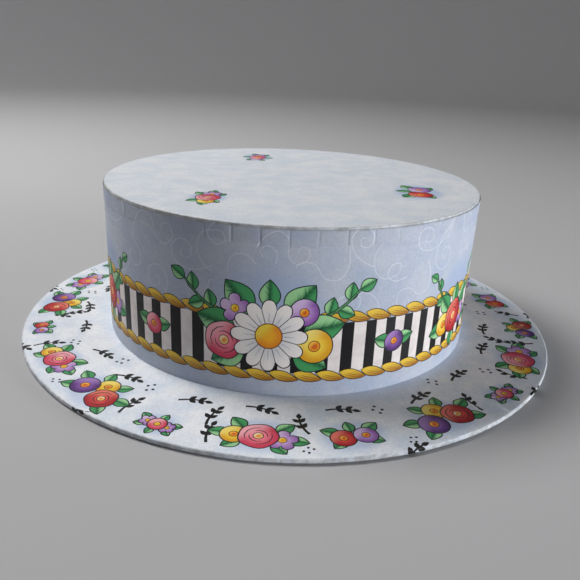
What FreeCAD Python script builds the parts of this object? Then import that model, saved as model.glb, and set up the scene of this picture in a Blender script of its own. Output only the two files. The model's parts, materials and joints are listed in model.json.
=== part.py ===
"""A hat-shaped hat box in paper-covered greyboard, millimetres, +Z up.

The brim is a covered disc and is the base. A round collar with a floor is glued to the middle of it and
holds what is stored. The crown is a deep lid that slips over the collar and rests on the brim.
The origin is the middle of the underside, where the box stands.
"""

import FreeCAD, Part
import os
import sys

import Sketcher

DIMENSIONS = [
    ("brim_diameter", 350, "edge to edge over the printed paper"),
    ("crown_diameter", 240, "over the printed paper"),
    ("crown_height", 94, "from the brim's face to the top of the lid"),
    ("paper", 0.3, "printed or lining paper with its paste"),
    ("board", 2, "greyboard of the lid, collar and floor"),
    ("brim_board", 2.5, "greyboard of the brim"),
    ("edge_round", 0.9, "rounding of the brim's papered edge"),
    ("lid_play", 1, "gap all round between collar and lid"),
    ("collar_height", 80, "board of the collar, above its foot"),
    ("under_margin", 6, "brim shown outside the underside paper"),
    ("brim_turn", 15, "width of the tabs folded under the brim"),
    ("brim_tabs", 68, "number of those tabs"),
    ("brim_notch", 2.4, "width of a notch between tabs at their ends"),
    ("top_tab_drop", 10, "how far the top paper's tabs run down the wall"),
    ("top_tabs", 52, "number of those tabs"),
    ("top_slit", 0.6, "width of the slit between two top tabs"),
    ("wrap_gap", 1.2, "top edge of the wall paper, below the lid's top"),
    ("hem", 15, "paper turned in at the lid's mouth and the collar's rim"),
    ("foot", 12, "collar paper turned under the floor"),
    ("lining_gap", 4, "lining stops this far from a mouth or rim"),
    ("butt_gap", 0.5, "open joint between the ends of a rolled board"),
    ("tape_angle", 14, "arc of the kraft tape over that joint, degrees"),
    ("tape_margin", 2, "tape stops this far from the board's ends"),
    ("lap_angle", 6, "arc of the wall paper's overlap, degrees"),
]

# Heights and radii shared by several pieces, as expressions on the sheet's cells.
PAPER = "Dims.paper"
BRIM_R = "Dims.brim_diameter / 2"
BRIM_BOARD_TOP = "(Dims.paper + Dims.brim_board)"
BRIM_TOP = "(2 * Dims.paper + Dims.brim_board)"

CROWN_R = "Dims.crown_diameter / 2"
CROWN_BOARD_R = f"({CROWN_R} - Dims.paper)"
CROWN_TAB_R = f"({CROWN_R} - 2 * Dims.paper)"
CROWN_CORE_R = f"({CROWN_BOARD_R} - Dims.board)"
CROWN_INNER_R = f"({CROWN_CORE_R} - Dims.paper)"
CROWN_TOP = f"({BRIM_TOP} + Dims.crown_height)"
TOP_BOARD_TOP = f"({CROWN_TOP} - Dims.paper)"
TOP_BOARD_FOOT = f"({TOP_BOARD_TOP} - Dims.board)"
TAB_FOOT = f"({CROWN_TOP} - Dims.top_tab_drop)"
CROWN_HEM_TOP = f"({BRIM_TOP} + Dims.hem)"

COLLAR_R = f"({CROWN_INNER_R} - Dims.lid_play)"
COLLAR_BOARD_R = f"({COLLAR_R} - Dims.paper)"
COLLAR_CORE_R = f"({COLLAR_BOARD_R} - Dims.board)"
COLLAR_INNER_R = f"({COLLAR_CORE_R} - Dims.paper)"
COLLAR_FOOT = f"({BRIM_TOP} + Dims.paper)"
COLLAR_BOARD_TOP = f"({COLLAR_FOOT} + Dims.collar_height)"
COLLAR_TOP = f"({COLLAR_BOARD_TOP} + Dims.paper)"
COLLAR_HEM_FOOT = f"({COLLAR_TOP} - Dims.hem)"
FLOOR_TOP = f"({COLLAR_FOOT} + Dims.board)"

doc = FreeCAD.newDocument("HatBox")
pieces = []


def make_sheet():
    """The spreadsheet of driving dimensions: name, value and what it is."""
    sheet = doc.addObject("Spreadsheet::Sheet", "Dims")
    for row, (alias, value, meaning) in enumerate(DIMENSIONS, start=1):
        sheet.set(f"A{row}", alias)
        sheet.set(f"B{row}", str(value))
        sheet.setAlias(f"B{row}", alias)
        sheet.set(f"C{row}", meaning)
    doc.recompute()
    return sheet


def new_body(label):
    """An empty body whose label names its file."""
    body = doc.addObject("PartDesign::Body", label)
    body.Label = label
    pieces.append(body)
    return body


def origin_feature(body, role):
    """One of the body's own origin planes or axes."""
    return next(f for f in body.Origin.OriginFeatures if f.Role == role)


def add_sketch(body, name, plane, points):
    """A closed outline of straight lines on an origin plane. Each point is two expressions."""
    sketch = body.newObject("Sketcher::SketchObject", name)
    sketch.AttachmentSupport = [(origin_feature(body, plane), "")]
    sketch.MapMode = "FlatFace"
    values = [tuple(doc.Dims.evalExpression(e.replace("Dims.", "")) for e in point) for point in points]
    corners = [FreeCAD.Vector(float(across), float(up), 0) for across, up in values]
    count = len(corners)
    for i in range(count):
        sketch.addGeometry(Part.LineSegment(corners[i], corners[(i + 1) % count]), False)
    for i in range(count):
        sketch.addConstraint(Sketcher.Constraint("Coincident", i, 2, (i + 1) % count, 1))
    for i, (point, corner) in enumerate(zip(points, corners)):
        if abs(corner.x) < 1e-9:
            sketch.addConstraint(Sketcher.Constraint("PointOnObject", i, 1, -2))
        else:
            bind_place(sketch, "DistanceX", i, corner.x, f"across_{i}", point[0])
        if abs(corner.y) < 1e-9:
            sketch.addConstraint(Sketcher.Constraint("PointOnObject", i, 1, -1))
        else:
            bind_place(sketch, "DistanceY", i, corner.y, f"up_{i}", point[1])
    return sketch


def bind_place(sketch, kind, point, value, name, expression):
    """Holds one coordinate of a sketch point at an expression on the sheet."""
    index = sketch.addConstraint(Sketcher.Constraint(kind, -1, 1, point, 1, value))
    sketch.renameConstraint(index, name)
    sketch.setExpression(f"Constraints.{name}", expression)


def turned(body, name, outline, angle=None, cut=False):
    """Turns an outline of (radius, height) points about Z, all the way or by an angle centred on the back."""
    sketch = add_sketch(body, f"{name}_outline", "YZ_Plane", outline)
    kind = "PartDesign::Groove" if cut else "PartDesign::Revolution"
    feature = body.newObject(kind, name)
    feature.Profile = sketch
    feature.ReferenceAxis = (origin_feature(body, "Z_Axis"), [""])
    feature.Angle = 360
    if angle:
        feature.Midplane = True
        feature.setExpression("Angle", angle)
    doc.recompute()
    return feature


def pocketed(body, name, plane, outline, depth):
    """Cuts an outline away, from the plane along its positive side, and checks that it removes something."""
    before = body.Shape.Volume
    sketch = add_sketch(body, f"{name}_outline", plane, outline)
    pocket = body.newObject("PartDesign::Pocket", name)
    pocket.Profile = sketch
    pocket.Type = "Length"
    pocket.Reversed = True
    pocket.setExpression("Length", depth)
    doc.recompute()
    if not body.Shape.Volume < before:
        sys.exit(f"{body.Label}: {name} cuts nothing")
    return pocket


def repeated(body, feature, count):
    """Repeats a cut round Z, count times."""
    before = body.Shape.Volume
    pattern = body.newObject("PartDesign::PolarPattern", f"{feature.Name}_ring")
    pattern.Originals = [feature]
    pattern.Axis = (origin_feature(body, "Z_Axis"), [""])
    pattern.Angle = 360
    pattern.setExpression("Occurrences", count)
    body.Tip = pattern
    doc.recompute()
    if not body.Shape.Volume < before:
        sys.exit(f"{body.Label}: {pattern.Name} cuts nothing")
    return pattern


def rounded_rims(body, radius, rims):
    """Rounds the circular edges that have one of the given (radius, height) places."""
    chosen = []
    for index, edge in enumerate(body.Shape.Edges, start=1):
        circle = edge.Curve
        if not isinstance(circle, Part.Circle):
            continue
        if any(abs(circle.Radius - r) < 1e-4 and abs(circle.Center.z - z) < 1e-4 for r, z in rims):
            chosen.append(f"Edge{index}")
    base = body.Tip
    fillet = body.newObject("PartDesign::Fillet", f"{body.Name}_round")
    fillet.Base = (base, chosen)
    fillet.setExpression("Radius", radius)
    body.Tip = fillet
    doc.recompute()
    return fillet


def value(expression):
    """The number that an expression on the sheet gives now."""
    return float(doc.Dims.evalExpression(expression.replace("Dims.", "")))


def rectangle(inner, outer, foot, top):
    """The outline of a plain ring or disc."""
    return [(inner, foot), (outer, foot), (outer, top), (inner, top)]


def butt_joint(body, depth):
    """The open joint at the back where the two ends of a rolled board meet."""
    half = "Dims.butt_gap / 2"
    slot = rectangle(f"-{half}", half, f"({COLLAR_CORE_R} - Dims.board)", f"({CROWN_R} + Dims.board)")
    return pocketed(body, f"{body.Name}_joint", "XY_Plane", slot, depth)


def brim_pieces():
    """The covered disc that is the brim and the base."""
    brim_core = f"({BRIM_R} - Dims.paper)"
    tab_root = f"({BRIM_R} - Dims.brim_turn)"
    tab_top = "(2 * Dims.paper)"

    underside = new_body("underside_paper")
    turned(underside, "underside_disc", rectangle("0", f"({BRIM_R} - Dims.under_margin)", "0", PAPER))

    board = new_body("brim_board")
    turned(board, "brim_disc", [
        ("0", PAPER),
        (tab_root, PAPER),
        (tab_root, tab_top),
        (brim_core, tab_top),
        (brim_core, BRIM_BOARD_TOP),
        ("0", BRIM_BOARD_TOP),
    ])
    core = value(brim_core)
    inner_round = "Dims.edge_round - Dims.paper"
    rounded_rims(board, inner_round, [(core, value(tab_top)), (core, value(BRIM_BOARD_TOP))])

    paper = new_body("brim_paper")
    turned(paper, "brim_sheet", [
        ("0", BRIM_BOARD_TOP),
        (brim_core, BRIM_BOARD_TOP),
        (brim_core, tab_top),
        (tab_root, tab_top),
        (tab_root, PAPER),
        (BRIM_R, PAPER),
        (BRIM_R, BRIM_TOP),
        ("0", BRIM_TOP),
    ])
    rounded_rims(paper, inner_round, [(core, value(tab_top)), (core, value(BRIM_BOARD_TOP))])
    outer = value(BRIM_R)
    rounded_rims(paper, "Dims.edge_round", [(outer, value(PAPER)), (outer, value(BRIM_TOP))])
    notch_end = f"({brim_core} - 2 * Dims.edge_round)"
    notch = pocketed(paper, "brim_notch", "XY_Plane", [
        ("-Dims.brim_notch / 2", f"({tab_root} - Dims.paper)"),
        ("Dims.brim_notch / 2", f"({tab_root} - Dims.paper)"),
        ("0", notch_end),
    ], tab_top)
    repeated(paper, notch, "Dims.brim_tabs")


def collar_pieces():
    """The round box without a lid that is glued to the brim: floor, wall, tape, cover and linings."""
    floor = new_body("floor_board")
    step = f"({COLLAR_R} - Dims.foot)"
    turned(floor, "floor_disc", [
        ("0", BRIM_TOP),
        (step, BRIM_TOP),
        (step, COLLAR_FOOT),
        (COLLAR_CORE_R, COLLAR_FOOT),
        (COLLAR_CORE_R, FLOOR_TOP),
        ("0", FLOOR_TOP),
    ])

    wall = new_body("collar_board")
    hem_r = f"({COLLAR_CORE_R} + Dims.paper)"
    turned(wall, "collar_tube", [
        (COLLAR_CORE_R, COLLAR_FOOT),
        (COLLAR_BOARD_R, COLLAR_FOOT),
        (COLLAR_BOARD_R, COLLAR_BOARD_TOP),
        (hem_r, COLLAR_BOARD_TOP),
        (hem_r, COLLAR_HEM_FOOT),
        (COLLAR_CORE_R, COLLAR_HEM_FOOT),
    ])
    tape_foot = f"({COLLAR_FOOT} + Dims.tape_margin)"
    tape_top = f"({COLLAR_BOARD_TOP} - Dims.tape_margin)"
    tape = rectangle(f"({COLLAR_BOARD_R} - Dims.paper)", COLLAR_BOARD_R, tape_foot, tape_top)
    turned(wall, "collar_tape_bed", tape, "Dims.tape_angle", cut=True)
    butt_joint(wall, COLLAR_TOP)

    strip = new_body("collar_seam_tape")
    turned(strip, "collar_strip", tape, "Dims.tape_angle")

    wrap = new_body("collar_wrap")
    turned(wrap, "collar_sheet", [
        (step, BRIM_TOP),
        (COLLAR_R, BRIM_TOP),
        (COLLAR_R, COLLAR_TOP),
        (COLLAR_CORE_R, COLLAR_TOP),
        (COLLAR_CORE_R, COLLAR_HEM_FOOT),
        (hem_r, COLLAR_HEM_FOOT),
        (hem_r, COLLAR_BOARD_TOP),
        (COLLAR_BOARD_R, COLLAR_BOARD_TOP),
        (COLLAR_BOARD_R, COLLAR_FOOT),
        (step, COLLAR_FOOT),
    ])

    lining = new_body("collar_lining")
    lining_top = f"({COLLAR_TOP} - Dims.lining_gap)"
    turned(lining, "collar_lining_tube", rectangle(COLLAR_INNER_R, COLLAR_CORE_R, FLOOR_TOP, lining_top))

    mat = new_body("floor_lining")
    turned(mat, "floor_lining_disc", rectangle("0", COLLAR_INNER_R, FLOOR_TOP, f"({FLOOR_TOP} + Dims.paper)"))


def crown_pieces():
    """The lid: side and top boards, tape, printed papers and linings."""
    hem_r = f"({CROWN_CORE_R} + Dims.paper)"
    board_foot = f"({BRIM_TOP} + Dims.paper)"

    wall = new_body("crown_side_board")
    turned(wall, "crown_tube", [
        (hem_r, board_foot),
        (CROWN_BOARD_R, board_foot),
        (CROWN_BOARD_R, TAB_FOOT),
        (CROWN_TAB_R, TAB_FOOT),
        (CROWN_TAB_R, TOP_BOARD_FOOT),
        (CROWN_CORE_R, TOP_BOARD_FOOT),
        (CROWN_CORE_R, CROWN_HEM_TOP),
        (hem_r, CROWN_HEM_TOP),
    ])
    tape_foot = f"({board_foot} + Dims.tape_margin)"
    tape_top = f"({TAB_FOOT} - Dims.tape_margin)"
    tape = rectangle(CROWN_TAB_R, CROWN_BOARD_R, tape_foot, tape_top)
    turned(wall, "crown_tape_bed", tape, "Dims.tape_angle", cut=True)
    butt_joint(wall, CROWN_TOP)

    strip = new_body("crown_seam_tape")
    turned(strip, "crown_strip", tape, "Dims.tape_angle")

    top = new_body("crown_top_board")
    turned(top, "crown_disc", rectangle("0", CROWN_TAB_R, TOP_BOARD_FOOT, TOP_BOARD_TOP))

    cover = new_body("crown_top_paper")
    turned(cover, "crown_top_sheet", [
        ("0", TOP_BOARD_TOP),
        (CROWN_TAB_R, TOP_BOARD_TOP),
        (CROWN_TAB_R, TAB_FOOT),
        (CROWN_BOARD_R, TAB_FOOT),
        (CROWN_BOARD_R, CROWN_TOP),
        ("0", CROWN_TOP),
    ])
    half = "Dims.top_slit / 2"
    slit = rectangle(f"-{half}", half, f"({CROWN_TAB_R} - Dims.paper)", f"({CROWN_R} + Dims.paper)")
    first_slit = pocketed(cover, "top_slit", "XY_Plane", slit, TOP_BOARD_FOOT)
    repeated(cover, first_slit, "Dims.top_tabs")

    side = new_body("crown_side_paper")
    wrap_top = f"({CROWN_TOP} - Dims.wrap_gap)"
    turned(side, "crown_side_sheet", [
        (CROWN_CORE_R, BRIM_TOP),
        (CROWN_R, BRIM_TOP),
        (CROWN_R, wrap_top),
        (CROWN_BOARD_R, wrap_top),
        (CROWN_BOARD_R, board_foot),
        (hem_r, board_foot),
        (hem_r, CROWN_HEM_TOP),
        (CROWN_CORE_R, CROWN_HEM_TOP),
    ])
    lap = rectangle(CROWN_BOARD_R, f"({CROWN_R} + Dims.paper)", board_foot, wrap_top)
    turned(side, "crown_side_lap", lap, "Dims.lap_angle")

    lining = new_body("crown_side_lining")
    lining_foot = f"({BRIM_TOP} + Dims.lining_gap)"
    lining_top = f"({TOP_BOARD_FOOT} - Dims.paper)"
    turned(lining, "crown_lining_tube", rectangle(CROWN_INNER_R, CROWN_CORE_R, lining_foot, lining_top))

    ceiling = new_body("crown_top_lining")
    turned(ceiling, "crown_lining_disc", rectangle("0", CROWN_CORE_R, lining_top, TOP_BOARD_FOOT))


def check_and_write():
    """Stops at a failed feature or a bad solid, then writes one STEP file for each piece."""
    doc.recompute()
    for item in doc.Objects:
        if {"Invalid", "Error"} & set(item.State):
            sys.exit(f"{item.Label} failed: {item.State}")
    for body in pieces:
        shape = body.Shape
        if shape.isNull() or not shape.isValid() or len(shape.Solids) != 1:
            sys.exit(f"{body.Label} is not one valid solid")
    os.makedirs("parts", exist_ok=True)
    for body in pieces:
        body.Shape.exportStep(f"parts/{body.Label}.step")
        box = body.Shape.BoundBox
        size = f"{box.XLength:.1f} x {box.YLength:.1f} x {box.ZLength:.1f}"
        print(f"{body.Label:18s} {size:24s} {body.Shape.Volume / 1000:8.1f} cm3")


make_sheet()
brim_pieces()
collar_pieces()
crown_pieces()
check_and_write()
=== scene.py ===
# %% [markdown]
# # A hat box, covered in printed paper
#
# The box is built the way a box maker builds it: boards, tape and papers. The boards are in the packed
# model already. What makes this object is its printed paper, so most of this lesson draws a print on flat
# sheets, cuts the sheets out, and folds them round the boards.

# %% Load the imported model
import json
import random
from math import atan2, cos, degrees, hypot, pi, radians, sin

import bmesh
import bpy
from mathutils import Matrix, Vector
from mathutils.geometry import delaunay_2d_cdt


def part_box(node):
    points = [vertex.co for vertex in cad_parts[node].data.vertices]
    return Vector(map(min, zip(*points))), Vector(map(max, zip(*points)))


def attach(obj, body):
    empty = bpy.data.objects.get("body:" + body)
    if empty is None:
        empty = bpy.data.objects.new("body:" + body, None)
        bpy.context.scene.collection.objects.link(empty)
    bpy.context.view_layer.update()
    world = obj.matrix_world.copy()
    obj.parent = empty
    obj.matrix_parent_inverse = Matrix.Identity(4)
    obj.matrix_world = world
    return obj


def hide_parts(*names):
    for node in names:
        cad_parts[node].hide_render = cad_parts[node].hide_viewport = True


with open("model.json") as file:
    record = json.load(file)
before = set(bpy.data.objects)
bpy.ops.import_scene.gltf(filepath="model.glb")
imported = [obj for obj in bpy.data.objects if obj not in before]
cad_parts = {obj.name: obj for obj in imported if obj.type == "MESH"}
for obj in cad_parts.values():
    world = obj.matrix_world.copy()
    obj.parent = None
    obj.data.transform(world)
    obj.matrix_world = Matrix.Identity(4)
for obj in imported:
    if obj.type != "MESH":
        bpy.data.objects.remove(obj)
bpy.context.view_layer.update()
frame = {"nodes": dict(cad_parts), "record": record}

nodes = frame["nodes"]
TURN = 2 * pi
MM = 0.001

# %% [markdown]
# ## Sizes
#
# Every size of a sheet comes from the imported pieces. Drawing is easier in millimetres, on a flat sheet, so
# the sizes are kept in millimetres here, and folding a sheet brings it to metres.

# %% Sizes in millimetres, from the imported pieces
def corners(node):
    """The lowest and highest corner of a node, in millimetres."""
    low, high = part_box(node)
    return low / MM, high / MM


brim_low, brim_high = corners("brim_paper")
side_low, side_high = corners("crown_side_paper")
top_low, top_high = corners("crown_top_paper")

PAPER = 0.3    # thickness of a sheet
BOARD = 2.0    # thickness of a rolled board
BRIM_RADIUS = brim_high.y
BRIM_TOP = brim_high.z
BRIM_UNDER = brim_low.z
SIDE_RADIUS = -side_low.y
SIDE_HEIGHT = side_high.z - side_low.z
TOP_RADIUS = SIDE_RADIUS - PAPER
TOP_HEIGHT = top_high.z
TAB_DROP = top_high.z - top_low.z
HEM = 15.0         # how far the wall's paper turns up inside the mouth
BRIM_TURN = 15.0   # how far the brim's paper turns in underneath
TOP_TABS = 52
BRIM_TABS = 68
LAP = radians(6) * SIDE_RADIUS
AROUND = TURN * SIDE_RADIUS
HALF_STRIP = (AROUND + LAP) / 2
print("brim", round(BRIM_RADIUS, 2), "crown", round(SIDE_RADIUS, 2), "side height", round(SIDE_HEIGHT, 2))

# %% [markdown]
# ## The camera
#
# A camera a little above the crown sees the top as a flat ellipse and the whole front wall. It is set first,
# because everything else is judged through it. Its place is given by a distance from the middle of the brim,
# the angle of its rise, and the three angles of its head. Its lens is in millimetres.

# %% Camera
CAMERA_DISTANCE = 0.4536
CAMERA_RISE = radians(23.01)
CAMERA_YAW = radians(0.24)
CAMERA_PITCH = radians(21.3)
CAMERA_ROLL = radians(2.56)
CAMERA_LENS = 39.5

level = Vector((cos(CAMERA_YAW), -sin(CAMERA_YAW), 0))
ahead = Vector((sin(CAMERA_YAW), cos(CAMERA_YAW), 0))
forward = ahead * cos(CAMERA_PITCH) - Vector((0, 0, sin(CAMERA_PITCH)))
upward = level.cross(forward)
camera_x = level * cos(CAMERA_ROLL) + upward * sin(CAMERA_ROLL)
camera_y = upward * cos(CAMERA_ROLL) - level * sin(CAMERA_ROLL)
camera_data = bpy.data.cameras.new("camera")
camera_data.lens = CAMERA_LENS
camera_data.sensor_width = 36
camera_data.clip_start = 0.01
camera = bpy.data.objects.new("camera", camera_data)
bpy.context.scene.collection.objects.link(camera)
pose = Matrix((camera_x, camera_y, -forward)).transposed().to_4x4()
camera_height = CAMERA_DISTANCE * sin(CAMERA_RISE) + BRIM_TOP * MM
pose.translation = (0, -CAMERA_DISTANCE * cos(CAMERA_RISE), camera_height)
camera.matrix_world = pose
bpy.context.scene.camera = camera

# %% [markdown]
# ## Printing: outlines on a flat sheet
#
# A print is a pile of flat shapes. Each shape is called a mark here: an ink, a closed outline, and a place.
# A place is a 3 by 3 matrix, so that a motif drawn once can be moved, turned and resized as a whole. The
# inverse of that matrix is kept too, because an ink shades its mark by where a point lies in the motif.

# %% Places and outlines
def spot(x=0.0, y=0.0, turn=0.0, size=1.0, stretch=1.0):
    """A place on the sheet: moved, turned by degrees, resized, and stretched across its own length."""
    c, s = cos(radians(turn)) * size, sin(radians(turn)) * size
    return Matrix(((c, -s * stretch, x), (s, c * stretch, y), (0, 0, 1)))


def put(where, point):
    """A motif's point on the sheet."""
    return (where @ Vector((point[0], point[1], 1))).to_2d()


def round_outline(points, radius=lambda angle: 1.0):
    """A closed outline whose radius is a formula of the angle."""
    angles = [TURN * i / points for i in range(points)]
    return [Vector((cos(a), sin(a))) * radius(a) for a in angles]


def leaf_outline(width, fullness=0.85, points=9):
    """A leaf from its stalk at 0 to its tip at 1."""
    along = [i / points for i in range(points + 1)]
    half = [width * sin(pi * t) ** fullness * (1.2 - 0.5 * t) for t in along]
    lower = [Vector((t, -w)) for t, w in zip(along, half)]
    upper = [Vector((t, w)) for t, w in zip(along, half)]
    return lower + upper[-2:0:-1]


def box_outline(x0, y0, x1, y1):
    return [Vector((x0, y0)), Vector((x1, y0)), Vector((x1, y1)), Vector((x0, y1))]


def area(points):
    following = points[1:] + points[:1]
    return sum(p.x * q.y - q.x * p.y for p, q in zip(points, following)) / 2


def grown(points, by):
    """An anticlockwise outline moved outwards."""
    moved = []
    for i, p in enumerate(points):
        along = points[(i + 1) % len(points)] - points[i - 1]
        outwards = Vector((along.y, -along.x))
        moved.append(p + outwards.normalized() * by if outwards.length > 1e-9 else p.copy())
    return moved


# %% [markdown]
# ## Marks
#
# `lay` prints one outline. `lay_lined` prints it over a slightly larger dark copy, which leaves a drawn line
# all round. A line of its own is a chain of four-sided marks, so that it may cross itself, as a curl does.

# %% Lay marks on a sheet
def path_on(where, points):
    """A motif's points on the sheet."""
    return [put(where, p) for p in points]


def anticlockwise(points):
    return points if area(points) > 0 else points[::-1]


def lay(marks, ink, outline, where):
    marks.append((ink, anticlockwise(path_on(where, outline)), where.inverted()))


def lay_lined(marks, ink, outline, where, line=0.5, line_ink="line"):
    points = anticlockwise(path_on(where, outline))
    marks.append((line_ink, grown(points, line), where.inverted()))
    marks.append((ink, points, where.inverted()))


def lay_path(marks, ink, path, width, grow=0.0):
    """A drawn line. Its width in millimetres is a formula of how far along it is, from 0 to 1."""
    count = len(path)
    sides = []
    for i, p in enumerate(path):
        along = (path[min(i + 1, count - 1)] - path[max(i - 1, 0)]).normalized()
        half = width(i / (count - 1)) / 2 + grow
        across = Vector((-along.y, along.x)) * half
        sides.append((p - across, p + across))
    for i in range(count - 1):
        middle = (path[i] + path[i + 1]) / 2
        run = path[i + 1] - path[i]
        half = max((sides[i][1] - sides[i][0]).length / 2, 0.05)
        where = spot(middle.x, middle.y, degrees(atan2(run.y, run.x)), half)
        quad = [sides[i][0], sides[i + 1][0], sides[i + 1][1], sides[i][1]]
        if abs(area(quad)) > 1e-6:
            marks.append((ink, anticlockwise(quad), where.inverted()))


# %% [markdown]
# ## Leaves and flowers
#
# The flowers are plain garden shapes: a daisy, a small star flower, a round button flower and a folded rose.
# Each is a few marks. A spray of them is a table, so that an arrangement is easy to read and to change.

# %% Leaves
def lay_leaf(marks, where, width=0.36, line=0.55):
    """A leaf with its midrib. The place's size is the leaf's length."""
    lay_lined(marks, "leaf", leaf_outline(width), where, line)
    length = hypot(where[0][0], where[1][0])
    rib = path_on(where, [Vector((t, 0.02 * sin(pi * t))) for t in (0.02, 0.2, 0.4, 0.6, 0.78)])
    lay_path(marks, "leaf_line", rib, lambda t: max(0.12, 0.04 * length * (1 - t)))


# %% Flowers
def ray(angle, radii):
    """Points on a straight line out of a flower's heart."""
    return [Vector((cos(angle), sin(angle))) * radius for radius in radii]


def lay_button(marks, where, ink, heart_ink="heart_orange", line=0.6):
    """A round flower with a ringed heart."""
    lay_lined(marks, ink, round_outline(26), where, line)
    lay_lined(marks, heart_ink, round_outline(14), where @ spot(size=0.3), line * 0.75, "heart_line")


def lay_star(marks, where, ink="lavender", line=0.5):
    """A small five-petalled star flower."""
    lay_lined(marks, ink, round_outline(40, lambda a: 1 - 0.42 * (1 - abs(cos(2.5 * a))) ** 1.6), where, line)
    for i in range(5):
        crease = path_on(where, ray(TURN * (i + 0.5) / 5, (0.3, 0.45, 0.62)))
        lay_path(marks, "petal_crease", crease, lambda t: 0.28 * (1 - 0.7 * t))
    lay_lined(marks, "heart_yellow", round_outline(12), where @ spot(size=0.25), line * 0.7, "heart_line")


def lay_rose(marks, where, ink, line=0.6):
    """A round rose: a pale heart inside four curved folds, two near it and two further out."""
    lay_lined(marks, ink, round_outline(28, lambda a: 1 + 0.03 * cos(5 * a)), where, line)
    lay_lined(marks, "heart_cream", round_outline(12), where @ spot(size=0.24), line * 0.7)
    for i in range(4):
        turns = [radians(90 * i + 30 * step) for step in range(5)]
        fold = [Vector((cos(a), sin(a))) * (0.48 + 0.24 * (i % 2)) for a in turns]
        lay_path(marks, "line", path_on(where, fold), lambda t: 0.3 + 0.3 * sin(pi * t))


def lay_daisy(marks, where, line=0.6):
    """A white daisy: twelve narrow petals round a gold heart."""
    petals = 12
    outline = round_outline(8 * petals, lambda a: 1 - 0.26 * (1 - abs(cos(petals / 2 * a))) ** 1.4)
    lay_lined(marks, "daisy_white", outline, where, line)
    for i in range(petals):
        between = ray(TURN * (i + 0.5) / petals, (0.34, 0.55, 0.76))
        lay_path(marks, "line", path_on(where, between), lambda t: 0.4)
        middle = ray(TURN * i / petals, (0.4, 0.68))
        lay_path(marks, "petal_grey", path_on(where, middle), lambda t: 0.7 - 0.5 * t)
    lay_lined(marks, "heart_gold", round_outline(26), where @ spot(size=0.34), line, "heart_line")


# %% Sprays of leaves and flowers
MOTIFS = {"leaf": lay_leaf, "button": lay_button, "star": lay_star, "rose": lay_rose, "daisy": lay_daisy}


def lay_spray(marks, where, spray, line=0.6):
    """Each row names a motif, its place, its turn and its size, and then its inks."""
    for motif, x, y, turn, size, *inks in spray:
        MOTIFS[motif](marks, where @ spot(x, y, turn, size), *inks, line=line)


def leaf_pair(x, y, turn, size):
    """Two leaves, one on each side of the middle."""
    return [("leaf", x, y, turn, size), ("leaf", -x, y, 180 - turn, size)]


# %% [markdown]
# ## Twigs, sprigs and curls
#
# A twig is a tapering line with leaves along it. The small black sprigs are a bent stalk with two pairs of
# leaves and one at the tip. The curls are thin pale lines in the background of the wall.

# %% Twigs, sprigs, dots and curls
def smooth_path(points, steps=8):
    """A curve through a few points, by Catmull and Rom's formula."""
    ends = [points[0]] + list(points) + [points[-1]]
    curve = []
    for a, b, c, d in zip(ends, ends[1:], ends[2:], ends[3:]):
        for i in range(steps):
            t = i / steps
            bend = (c - a) * t + (2 * a - 5 * b + 4 * c - d) * t**2 + (3 * b - a - 3 * c + d) * t**3
            curve.append(b + 0.5 * bend)
    return curve + [points[-1]]


def lay_twig(marks, where, side, reach, rise):
    """A leafy twig that bends upwards, to the right for a side of 1 and to the left for -1."""
    bent = lambda t: Vector((side * reach * t, rise * t * t))
    for t, turn in ((0.4, 78), (0.58, -22), (0.8, 84), (1.0, 28)):
        lay_leaf(marks, where @ spot(*bent(t), turn if side > 0 else 180 - turn, 0.36 * reach))
    stem = path_on(where, [bent(i / 6) for i in range(7)])
    width = lambda t: 1.7 - 1.0 * t
    lay_path(marks, "line", stem, width, grow=0.42)
    lay_path(marks, "stem", stem, width)


def lay_sprig(marks, where):
    """A black sprig, drawn about 24 mm long for a size of 1."""
    stalk = lambda x: Vector((x, 2 - 0.016 * x * x))
    lay_path(marks, "black", path_on(where, [stalk(x) for x in (-12, -7, -2, 3, 8)]), lambda t: 1.6 - 0.6 * t)
    leaves = [(x, side * 44 - 1.8 * x) for x in (-4, 3) for side in (-1, 1)] + [(7.5, -14)]
    for x, turn in leaves:
        lay(marks, "black", leaf_outline(0.3, 0.72, 6), where @ spot(*stalk(x), turn, 6.8))


def lay_dots(marks, where):
    for x, y in ((-3.2, -0.6), (0.3, 2.3), (3.3, 0.4), (-0.4, -2.6)):
        lay(marks, "black", round_outline(8), where @ spot(x, y, 0, 0.95))


CURLS = (
    ((-16, -6), (-8, -8), (0, -7.5), (7, -3), (7.5, 4), (2, 8), (-4, 5.5), (-4.5, 0), (-0.5, -2.2),
     (2.4, 0.6), (0.8, 2.6)),
    ((-17, -3), (-12, 5), (-5, 8.5), (1, 4), (1, -4), (6, -9), (12, -6), (12, 0), (7.5, 1), (6, -2.4)),
    ((-14, 6), (-9, -2), (-2, -3), (1, 3), (-3, 7.5), (-7, 3), (-2, -6), (7, -7), (15, -1), (17, 7)),
)


def lay_curl(marks, where, kind, flip):
    """A pale wandering line, about 30 mm long for a size of 1."""
    points = [Vector((x * flip, y)) for x, y in CURLS[kind]]
    lay_path(marks, "curl", path_on(where, smooth_path(points, 3)), lambda t: 0.6 - 0.15 * t)


# %% [markdown]
# ## The print on the wall
#
# On the flat sheet x runs round the crown, from 0 at the front, and y is the height over the lid's mouth.
# The layers go down in a printer's order: curls, the striped ribbon, the two ropes, and then the flowers.

# %% Ribbon and ropes
STRIPE_DEGREES = [6.9] * 6 + [6.35] * 6 + [5.786] * 7    # the steps in one third of the turn
STRIPES_BEGIN = 57.4
HALF_STRIP_DEGREES = 190    # a little past the strip's ends
RIBBON_LOW, RIBBON_HIGH = 14.0, 43.0
ROPE_LOBES = 60
ROPE_HEIGHTS = (12.0, 45.8)


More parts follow.
